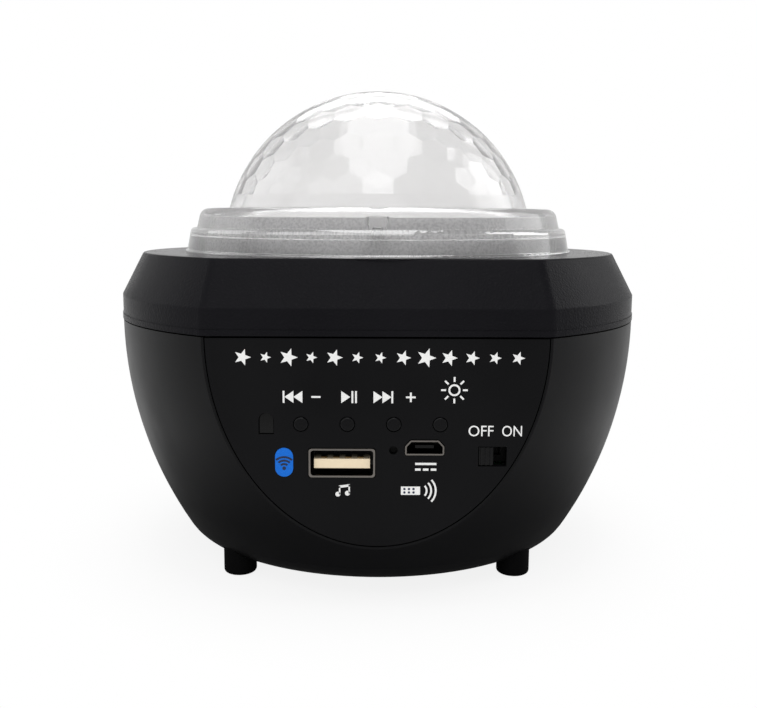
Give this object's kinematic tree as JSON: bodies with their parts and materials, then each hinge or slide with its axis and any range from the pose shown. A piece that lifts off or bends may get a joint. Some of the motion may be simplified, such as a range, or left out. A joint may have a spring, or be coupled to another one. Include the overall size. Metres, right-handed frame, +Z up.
{
  "type": "light projector",
  "caption": "Round black night light projector with a flat control front, a stepped clear rim and a clear faceted dome over a turning light disc, on rubber feet.",
  "frame": {"origin": "middle of the footprint, on the table", "axes": "+Z up along the dome, -Y out of the control panel, +X to the right seen from the front"},
  "size_m": [0.1212, 0.111, 0.1075],
  "materials": {
    "case_black": "moulded black, satin gloss, fine grain on the front",
    "dome_clear": "clear, polished outside, faceted inside",
    "foot_rubber": "matt black",
    "button_black": "moulded black",
    "knob_black": "moulded black, ribbed",
    "socket_steel": "plated sheet",
    "socket_ivory": "ivory moulding",
    "contact_gold": "thin plating",
    "switch_black": "moulded black",
    "eye_dark": "dark polished resin",
    "can_aluminium": "drawn can",
    "badge_blue": "bright blue",
    "tray_white": "moulded white",
    "lamp_board_white": "white mask on metal core",
    "emitter_pale": "resin over the emitter",
    "lens_clear": "clear, polished",
    "gear_white": "natural white",
    "steel": "zinc plated",
    "board_green": "green mask",
    "header_white": "natural white",
    "speaker_black": "black coating",
    "magnet_dark": "sintered",
    "cone_paper": "pressed paper",
    "gasket_foam": "foam",
    "lead_red": "insulated wire"
  },
  "bodies": {
    "case": {"bottom_bowl": "case_black", "top_cover": "case_black", "front_panel": "case_black", "clear_dome": "dome_clear", "foot_front_left": "foot_rubber", "foot_front_right": "foot_rubber", "foot_rear_left": "foot_rubber", "foot_rear_right": "foot_rubber", "usb_a_shell": "socket_steel", "micro_usb_shell": "socket_steel", "usb_a_tongue": "socket_ivory", "usb_a_contacts": "contact_gold", "micro_usb_tongue": "switch_black", "tact_switches": "switch_black", "slide_switch": "switch_black", "board_chips": "switch_black", "ir_receiver": "eye_dark", "microphone": "can_aluminium", "board_capacitors": "can_aluminium", "blue_badge": "badge_blue", "lamp_tray": "tray_white", "lamp_board": "lamp_board_white", "leds": "emitter_pale", "led_lenses": "lens_clear", "disc_axle": "steel", "disc_clip": "steel", "gear_motor": "steel", "case_screws": "steel", "dome_screws": "steel", "board_screws": "steel", "lamp_screws": "steel", "motor_screws": "steel", "speaker_screws": "steel", "main_board": "board_green", "wire_headers": "header_white", "speaker_frame": "speaker_black", "speaker_magnet": "magnet_dark", "speaker_cone": "cone_paper", "speaker_gasket": "gasket_foam", "speaker_lead": "lead_red", "lamp_lead": "lead_red"},
    "previous_button": {"button_previous": "button_black", "plunger_previous": "switch_black"},
    "play_button": {"button_play": "button_black", "plunger_play": "switch_black"},
    "next_button": {"button_next": "button_black", "plunger_next": "switch_black"},
    "light_button": {"button_light": "button_black", "plunger_light": "switch_black"},
    "power_slider": {"power_knob": "knob_black"},
    "effect_rotor": {"effect_disc": "lens_clear", "drive_gear": "gear_white"},
    "pinion_rotor": {"motor_shaft": "steel", "motor_pinion": "gear_white"}
  },
  "joints": [
    {"name": "previous_press", "type": "slide", "parent": "case", "child": "previous_button", "axis": [0, 1, 0], "range_m": [0, 0.0004], "stiffness_N_per_m": 300, "springref_m": -0.002},
    {"name": "play_press", "type": "slide", "parent": "case", "child": "play_button", "axis": [0, 1, 0], "range_m": [0, 0.0004], "stiffness_N_per_m": 300, "springref_m": -0.002},
    {"name": "next_press", "type": "slide", "parent": "case", "child": "next_button", "axis": [0, 1, 0], "range_m": [0, 0.0004], "stiffness_N_per_m": 300, "springref_m": -0.002},
    {"name": "light_press", "type": "slide", "parent": "case", "child": "light_button", "axis": [0, 1, 0], "range_m": [0, 0.0004], "stiffness_N_per_m": 300, "springref_m": -0.002},
    {"name": "power_slide", "type": "slide", "parent": "case", "child": "power_slider", "axis": [1, 0, 0], "range_m": [0, 0.0024]},
    {"name": "effect_spin", "type": "hinge", "parent": "case", "child": "effect_rotor", "pos_m": [0, -0.00515, 0.0697], "axis": [0, 0, 1], "continuous": true},
    {"name": "pinion_spin", "type": "hinge", "parent": "case", "child": "pinion_rotor", "pos_m": [0, 0.02245, 0.0697], "axis": [0, 0, 1], "continuous": true}
  ],
  "couplings": [
    {"joint": "pinion_spin", "follows": "effect_spin", "ratio": -5.1111}
  ]
}
